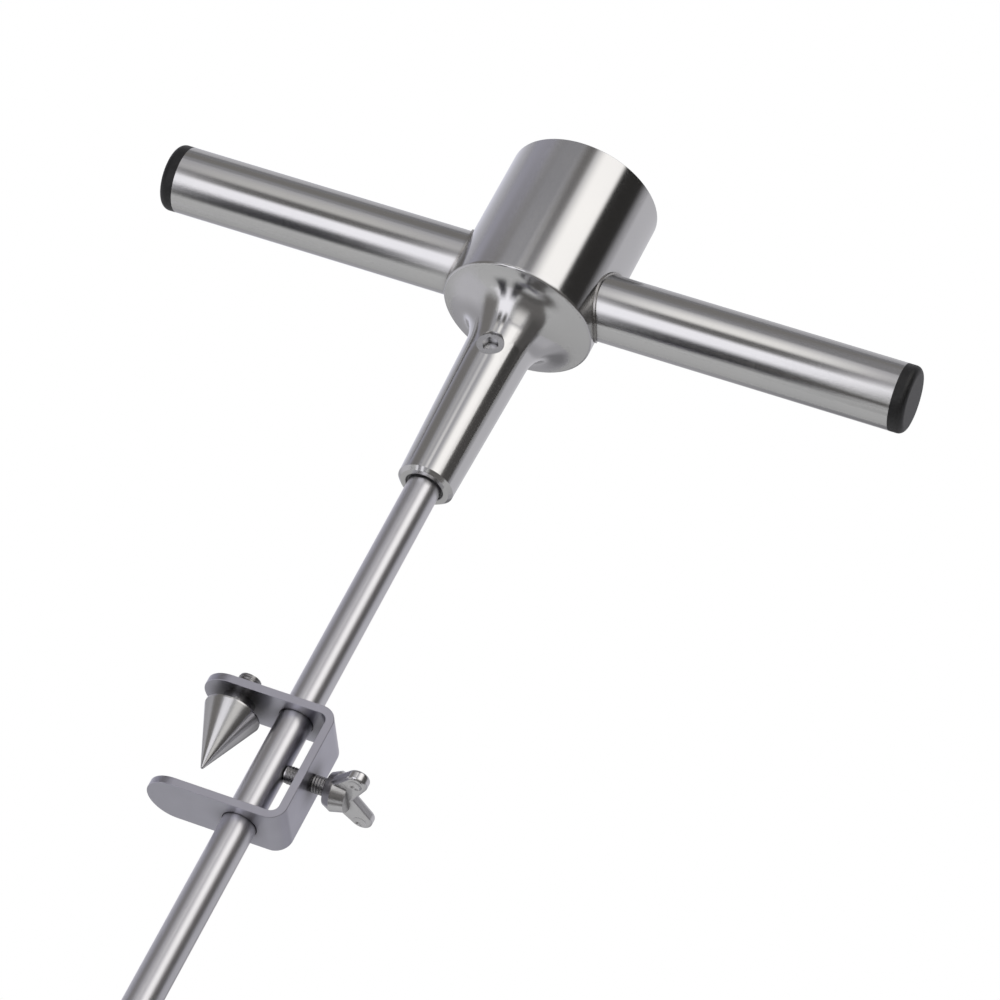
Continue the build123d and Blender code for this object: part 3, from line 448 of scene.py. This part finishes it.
figure_points, figure_faces, figure_start = [], [], 0
for value in range(0, SCALE_FULL + 1, FIGURE_EVERY):
    angle = float(scale_angle(value))
    figure_x, figure_y = FIGURE_CIRCLE * math.cos(angle), FIGURE_CIRCLE * math.sin(angle)
    centre = (figure_x, figure_y, (PRINT_LOW + PRINT_HIGH) / 2)
    points, faces = figure_triangles(str(value), FIGURE_SIZE, centre)
    figure_points.append(points)
    figure_faces.append(faces + figure_start)
    figure_start += len(points)
figures = put_mesh("dial_figures", np.concatenate(figure_points), np.concatenate(figure_faces))
figures.data.materials.append(black_ink)
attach(figures, "frame")

# Window: a clear acrylic disc bedded on a rubber ring, held down by the bezel's rolled lip.
# It has the faint haze of a face that is wiped clean in the field.

HAZE_SIZE, HAZE_ROUGHNESS = 70.0, 0.05
WINDOW_TINT = (0.97, 0.985, 0.98, 1.0)
ACRYLIC_IOR = 1.49


def make_window_glass():
    """A clear finish whose roughness goes from none to a faint haze with a slow noise."""
    material, nodes, links, shader = start_material("window_glass")
    place = nodes.new("ShaderNodeTexCoord")
    haze = nodes.new("ShaderNodeTexNoise")
    haze.inputs["Scale"].default_value = HAZE_SIZE
    links.new(place.outputs["Object"], haze.inputs["Vector"])
    links.new(span(nodes, links, haze.outputs["Fac"], 0.0, HAZE_ROUGHNESS), shader.inputs["Roughness"])
    shader.inputs["Base Color"].default_value = WINDOW_TINT
    shader.inputs["Transmission Weight"].default_value = 1.0
    shader.inputs["IOR"].default_value = ACRYLIC_IOR
    return material


dress(make_window_glass(), "gauge_window")

# Storage bracket: stainless strip cut with rounded ends and bent to a U, left with its mill finish.
# It slides on the rod, and painted shade darkens its bends, the underside of the flange and round the
# holes.

ROLLED_ALONG = (60.0, 1500.0, 60.0)
strip_finish = bare_metal("bracket_mill_strip", dull=(0.465, 0.46, 0.52), bright=(0.545, 0.54, 0.605),
                          smooth=0.29, rough=0.36, stretch=ROLLED_ALONG, cloud_size=90.0, line_depth=1.2e-6,
                          shade_reach=0.010, shade_most=0.85)
dress(strip_finish, "storage_bracket")

# Wing screw: cast and tumbled bright, with a rolled thread on its shank. It goes through the web and
# bears on the rod, so that a turn by hand holds the bracket anywhere along it.

wing_finish = bare_metal("wing_screw_cast", dull=(0.60, 0.595, 0.605), bright=(0.73, 0.725, 0.735),
                         smooth=0.12, rough=0.22, stretch=(700.0,) * 3, cloud_size=200.0, line_depth=4e-6,
                         shade_most=0.7)
dress(wing_finish, "wing_screw")
WING_LOW, WING_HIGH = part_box("wing_screw")
WING_Z = (WING_LOW[2] + WING_HIGH[2]) / 2
WING_THREADS = (("wing_thread_inner", 0.0066, 0.0128), ("wing_thread_outer", 0.0160, 0.0217))
for name, thread_start, thread_end in WING_THREADS:
    wing_thread = threaded_sleeve(name, (thread_start, 0.0, WING_Z), length=thread_end - thread_start,
                                  radius=0.003, pitch=0.001, height=0.0002, turn_axis="X")
    wing_thread.data.materials.append(stub_finish)
    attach(wing_thread, "clamp_screw")

# Cards: paper and cloth that the metal mirrors, pale for a glow and dark for a flag, hung round the hub
# as a photographer hangs them. They show in reflections alone, and a nearer card hides those behind it.

STUDIO_CENTRE = np.array((0.0, 0.0, 0.86))
HANDLE_LOW, HANDLE_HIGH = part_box("right_handle_tube")
HANDLE_AXIS_Z = (HANDLE_LOW[2] + HANDLE_HIGH[2]) / 2
CARD_COLUMNS, CARD_ROWS = 49, 33


def card_grid():
    """Shares from 0 to 1 across and up a card, as two grids."""
    return np.meshgrid(np.linspace(0, 1, CARD_COLUMNS), np.linspace(0, 1, CARD_ROWS))


def dome_patch(azimuths, elevations, radius, lean=0.0):
    """A patch of a sphere round the hub: azimuth runs across, elevation up, and the foot leans round."""
    across, up = card_grid()
    az = np.radians(azimuths[0] + (azimuths[1] - azimuths[0]) * across + lean * (1 - up) ** 2)
    el = np.radians(elevations[0] + (elevations[1] - elevations[0]) * up)
    outward = np.stack([np.cos(az) * np.cos(el), np.sin(az) * np.cos(el), np.sin(el)], -1)
    return outward * radius + STUDIO_CENTRE


def trough_patch(reaches, turns, radius, lean=0.0):
    """A patch of a round trough along the handles: X runs across, the turn about them up; it can lean."""
    across, up = card_grid()
    reach = reaches[0] + (reaches[1] - reaches[0]) * across + lean * (1 - up) ** 2
    turn = np.radians(turns[0] + (turns[1] - turns[0]) * up)
    return np.stack([reach, radius * np.cos(turn), HANDLE_AXIS_Z + radius * np.sin(turn)], -1)


def grid_faces(columns, rows):
    """The four corners of each cell of a grid whose columns run first."""
    start = (np.arange(rows - 1)[:, None] * columns + np.arange(columns - 1)[None, :]).ravel()
    return np.stack([start, start + 1, start + columns + 1, start + columns], -1)


def smooth_step(high, value):
    """0 at 0, 1 above high, and an even S between them."""
    t = np.clip(value / high, 0, 1)
    return t * t * (3 - 2 * t)


def card(name, colour, strength, patch, soft=(0, 0, 0, 0)):
    """A card that glows on its inner side, seen only in reflections, with edges that fade away.

    The soft shares say how much of its size its left, right, low and high edge take to fade."""
    piece = put_mesh(name, patch.reshape(-1, 3), grid_faces(CARD_COLUMNS, CARD_ROWS))
    across, up = card_grid()
    cover = np.ones_like(across)
    for inward, share in zip((across, 1 - across, up, 1 - up), soft):
        if share:
            cover = cover * smooth_step(share, inward)
    shade = piece.data.attributes.new("cover", "FLOAT", "POINT")
    shade.data.foreach_set("value", cover.ravel().astype(np.float32))
    material = bpy.data.materials.new(name)
    material.use_nodes = True
    nodes, links = material.node_tree.nodes, material.node_tree.links
    nodes.clear()
    glow, clear = nodes.new("ShaderNodeEmission"), nodes.new("ShaderNodeBsdfTransparent")
    glow.inputs["Color"].default_value = (*colour, 1.0)
    glow.inputs["Strength"].default_value = strength
    read = nodes.new("ShaderNodeAttribute")
    read.attribute_name = "cover"
    side, shown = nodes.new("ShaderNodeNewGeometry"), nodes.new("ShaderNodeMath")
    shown.operation = "MULTIPLY"
    links.new(read.outputs["Fac"], shown.inputs[0])
    links.new(side.outputs["Backfacing"], shown.inputs[1])
    blend, leave = nodes.new("ShaderNodeMixShader"), nodes.new("ShaderNodeOutputMaterial")
    links.new(shown.outputs[0], blend.inputs["Fac"])
    links.new(clear.outputs[0], blend.inputs[1])
    links.new(glow.outputs[0], blend.inputs[2])
    links.new(blend.outputs[0], leave.inputs["Surface"])
    material.cycles.emission_sampling = "NONE"
    piece.data.materials.append(material)
    piece.visible_camera = False
    piece.visible_diffuse = False
    piece.visible_shadow = False
    piece.visible_transmission = False
    piece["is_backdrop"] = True


PALE = (0.985, 0.975, 1.02)
WARM = (1.0, 0.98, 0.955)
BLUISH = (0.95, 0.95, 1.06)
LAVENDER = (0.955, 0.945, 1.08)
SMOKY = (1.0, 0.96, 0.93)
INKY = (0.96, 0.95, 1.12)
card("studio_tent", PALE, 0.44, dome_patch(azimuths=(-180, 180), elevations=(-30, 90), radius=3.0))
card("studio_right_low", PALE, 0.56, dome_patch(azimuths=(6, 66), elevations=(-30, 10), radius=2.95),
     soft=(0.1, 0.4, 0, 0.4))
card("studio_right_backdrop", PALE, 0.64, dome_patch(azimuths=(14, 118), elevations=(16, 60), radius=2.9),
     soft=(0.08, 0.25, 0.2, 0.4))
card("studio_left_backdrop", BLUISH, 0.80,
     dome_patch(azimuths=(104, 182), elevations=(10, 58), radius=2.85),
     soft=(0.1, 0.75, 0.25, 0.4))
card("studio_left_sky", LAVENDER, 0.43, dome_patch(azimuths=(165, 222), elevations=(8, 60), radius=2.84),
     soft=(0.3, 0.3, 0.2, 0.2))
card("studio_top", PALE, 0.25, dome_patch(azimuths=(-190, -20), elevations=(46, 90), radius=2.8),
     soft=(0.1, 0.1, 0.15, 0))
card("studio_back_top", PALE, 0.60, dome_patch(azimuths=(80, 196), elevations=(48, 84), radius=2.75),
     soft=(0.3, 0.2, 0.3, 0.75))
card("studio_upper_shade", PALE, 0.33, dome_patch(azimuths=(-155, -82), elevations=(33.5, 75), radius=2.7),
     soft=(0.3, 0, 0.06, 0.2))
card("studio_gap_shade", SMOKY, 0.18, dome_patch(azimuths=(-106, -84), elevations=(33.5, 70), radius=2.68),
     soft=(0.5, 0, 0.06, 0.2))
card("studio_front_glow", PALE, 0.51, dome_patch(azimuths=(-128, -80), elevations=(6, 33.5), radius=2.65),
     soft=(0.2, 0, 0.2, 0.08))
card("studio_softbox", WARM, 1.45, dome_patch(azimuths=(-90, -31), elevations=(-14, 68), radius=2.6),
     soft=(0.40, 0.1, 0.16, 0.1))
card("studio_left_low", PALE, 0.66, dome_patch(azimuths=(122, 206), elevations=(-50, 6), radius=1.05),
     soft=(0.25, 0.4, 0.15, 0.5))
card("studio_left_shade", SMOKY, 0.235,
     dome_patch(azimuths=(-176, -126), elevations=(-52, 40), radius=0.97),
     soft=(0.35, 0.25, 0.25, 0.12))
card("studio_black_flag", SMOKY, 0.035,
     dome_patch(azimuths=(-40.2, 15), elevations=(-62, 80), radius=0.95, lean=-10),
     soft=(0.144, 0.30, 0.14, 0.1))
card("studio_flag_foot", SMOKY, 0.105,
     dome_patch(azimuths=(-37, 10), elevations=(-62, 34), radius=0.945, lean=-10),
     soft=(0.2, 0.28, 0.14, 0.12))
card("studio_flag_edge", SMOKY, 0.40,
     dome_patch(azimuths=(-56, -22), elevations=(-62, 33), radius=0.94, lean=-10),
     soft=(0.8, 0.8, 0.14, 0.12))
card("studio_softbox_tail", WARM, 0.98, dome_patch(azimuths=(-86, -42), elevations=(-60, -10), radius=0.93),
     soft=(0.35, 0.35, 0.1, 0.1))
card("studio_low_softbox", PALE, 1.3,
     trough_patch(reaches=(-0.60, 0.05), turns=(282, 180), radius=0.90, lean=-0.25),
     soft=(0.22, 0.16, 0.5, 0.25))
card("studio_low_shade", SMOKY, 0.17, dome_patch(azimuths=(-98, 8), elevations=(-87, -26), radius=0.82),
     soft=(0.15, 0.2, 0.3, 0.5))
card("studio_under_shade", SMOKY, 0.12,
     dome_patch(azimuths=(-140, 120), elevations=(-86.5, -64), radius=0.80),
     soft=(0.12, 0.25, 0.5, 0.5))
card("studio_back_shade", PALE, 0.22, dome_patch(azimuths=(70, 104), elevations=(-24, 20), radius=0.90),
     soft=(0.4, 0.4, 0.4, 0.3))
card("studio_high_shade", SMOKY, 0.235, dome_patch(azimuths=(-152, -100), elevations=(41, 78), radius=2.6),
     soft=(0.3, 0.3, 0.2, 0.25))
HANDLE_CARDS = (("right", (-0.240, -0.05), (0.3, 0.2), 1.20), ("left", (-0.48, -0.280), (0.1, 0.3), 0.68))
for side, reaches, soft_ends, band_level in HANDLE_CARDS:
    card("studio_band_" + side, WARM, band_level, trough_patch(reaches, turns=(187, 139), radius=0.89),
         soft=(*soft_ends, 0.1, 0.63))
    card("studio_line_" + side, SMOKY, 0.13, trough_patch(reaches, turns=(210, 173), radius=0.88),
         soft=(*soft_ends, 0.38, 0.42))
    card("studio_flag_" + side, INKY, 0.03, trough_patch(reaches, turns=(283, 226), radius=0.84),
         soft=(*soft_ends, 0.30, 0.42))

# Floor: pale matt paint, a little below the rod's point, so that a cone that is screwed out stays above it.
# A camera below it sees through it, because the object is also looked at from underneath.

CONE_DROP, FLOOR_GAP = 0.0125, 0.001
FLOOR_Z = -(CONE_DROP + FLOOR_GAP)
FLOOR_RADIUS, FLOOR_FIRST_RING = 4.0, 0.02
FLOOR_RINGS, FLOOR_TURNS = 40, 97
FLOOR_DULL, FLOOR_BRIGHT = (0.80, 0.80, 0.80), (0.82, 0.82, 0.82)
FLOOR_CLOUD_SIZE, FLOOR_ROUGHNESS = 5.0, 0.8


def floor_points(steps, turns):
    """A flat disc: rings at the given distances, each going once round."""
    far, around = np.meshgrid(steps, turns, indexing="ij")
    tall = np.full_like(far, FLOOR_Z)
    return np.stack([far * np.cos(around), far * np.sin(around), tall], -1).reshape(-1, 3)


def make_floor_paint():
    """A pale matt paint, a little cloudy, that is clear to a camera ray from below."""
    material, nodes, links, shader = start_material("studio_floor")
    place = nodes.new("ShaderNodeTexCoord")
    cloud = nodes.new("ShaderNodeTexNoise")
    cloud.inputs["Scale"].default_value = FLOOR_CLOUD_SIZE
    links.new(place.outputs["Object"], cloud.inputs["Vector"])
    paint = tint(nodes, links, cloud.outputs["Fac"], FLOOR_DULL, FLOOR_BRIGHT)
    links.new(paint, shader.inputs["Base Color"])
    shader.inputs["Roughness"].default_value = FLOOR_ROUGHNESS
    shader.inputs["Specular IOR Level"].default_value = 0.0
    side, ray = nodes.new("ShaderNodeNewGeometry"), nodes.new("ShaderNodeLightPath")
    under = nodes.new("ShaderNodeMath")
    under.operation = "MULTIPLY"
    links.new(side.outputs["Backfacing"], under.inputs[0])
    links.new(ray.outputs["Is Camera Ray"], under.inputs[1])
    clear, mix = nodes.new("ShaderNodeBsdfTransparent"), nodes.new("ShaderNodeMixShader")
    links.new(under.outputs[0], mix.inputs["Fac"])
    links.new(shader.outputs[0], mix.inputs[1])
    links.new(clear.outputs[0], mix.inputs[2])
    links.new(mix.outputs[0], nodes["Material Output"].inputs["Surface"])
    return material


floor_steps = np.concatenate([[0.0], np.geomspace(FLOOR_FIRST_RING, FLOOR_RADIUS, FLOOR_RINGS)])
floor_turns = np.linspace(0, 2 * np.pi, FLOOR_TURNS)
floor = put_mesh("studio_floor", floor_points(floor_steps, floor_turns),
                 grid_faces(floor_turns.size, floor_steps.size)[:, ::-1])
floor.data.materials.append(make_floor_paint())
floor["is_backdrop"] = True

# Air and lamp: white air that is seen at full strength by the camera, in metal and through the window, and
# lights the object at a lower one. A soft round lamp high on the left gives the floor its shadow.

AIR_LIGHT, AIR_SEEN = 0.55, 1.0
LAMP_PLACE, LAMP_TARGET = Vector((-0.9, -1.5, 2.4)), Vector((0.0, 0.0, 0.7))
LAMP_WIDTH, LAMP_POWER = 1.6, 22.0
air = bpy.data.worlds.new("studio_air")
air.use_nodes = True
bpy.context.scene.world = air
air_nodes, air_links = air.node_tree.nodes, air.node_tree.links
air_ray = air_nodes.new("ShaderNodeLightPath")
looks_at_air = air_ray.outputs["Is Camera Ray"]
for ray in ("Is Glossy Ray", "Is Transmission Ray"):
    either = air_nodes.new("ShaderNodeMath")
    either.operation = "MAXIMUM"
    air_links.new(looks_at_air, either.inputs[0])
    air_links.new(air_ray.outputs[ray], either.inputs[1])
    looks_at_air = either.outputs[0]
air_shader = air_nodes["Background"]
air_shader.inputs["Color"].default_value = (1.0, 1.0, 1.0, 1.0)
air_strength = span(air_nodes, air_links, looks_at_air, AIR_LIGHT, AIR_SEEN)
air_links.new(air_strength, air_shader.inputs["Strength"])

lamp = bpy.data.lights.new("studio_lamp", "AREA")
lamp.shape = "DISK"
lamp.size = LAMP_WIDTH
lamp.energy = LAMP_POWER
lamp_holder = bpy.data.objects.new("studio_lamp", lamp)
lamp_turn = (LAMP_TARGET - LAMP_PLACE).to_track_quat("-Z", "Y").to_matrix().to_4x4()
lamp_holder.matrix_world = Matrix.Translation(LAMP_PLACE) @ lamp_turn
lamp_holder.visible_glossy = False
bpy.context.scene.collection.objects.link(lamp_holder)

# Camera: a long lens below the handles, to the right of the rod and in front of it, looking up.
# It is rolled, so that the handles run down to the right and the rod down to the left.

CAMERA_PLACE = (0.48252, -1.3066, -0.09534)
CAMERA_TURN, CAMERA_RISE, CAMERA_ROLL = np.radians((19.22, -32.16, 28.18)).tolist()
CAMERA_LENS, CAMERA_SENSOR = 168.9, 36.0
CAMERA_NEAR, CAMERA_FAR = 0.05, 30.0
camera = bpy.data.cameras.new("photo_camera")
camera.lens = CAMERA_LENS
camera.sensor_width = CAMERA_SENSOR
camera.clip_start, camera.clip_end = CAMERA_NEAR, CAMERA_FAR
flat = math.cos(CAMERA_RISE)
back = Vector((math.sin(CAMERA_TURN) * flat, -math.cos(CAMERA_TURN) * flat, math.sin(CAMERA_RISE)))
level = Vector((math.cos(CAMERA_TURN), math.sin(CAMERA_TURN), 0.0))
above = back.cross(level)
right = math.cos(CAMERA_ROLL) * level + math.sin(CAMERA_ROLL) * above
up = -math.sin(CAMERA_ROLL) * level + math.cos(CAMERA_ROLL) * above
camera_axes = Matrix((right, up, back)).transposed().to_4x4()
camera_holder = bpy.data.objects.new("photo_camera", camera)
camera_holder.matrix_world = Matrix.Translation(CAMERA_PLACE) @ camera_axes
bpy.context.scene.collection.objects.link(camera_holder)
bpy.context.scene.camera = camera_holder
bpy.context.scene.view_settings.view_transform = "Standard"

low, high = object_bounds()
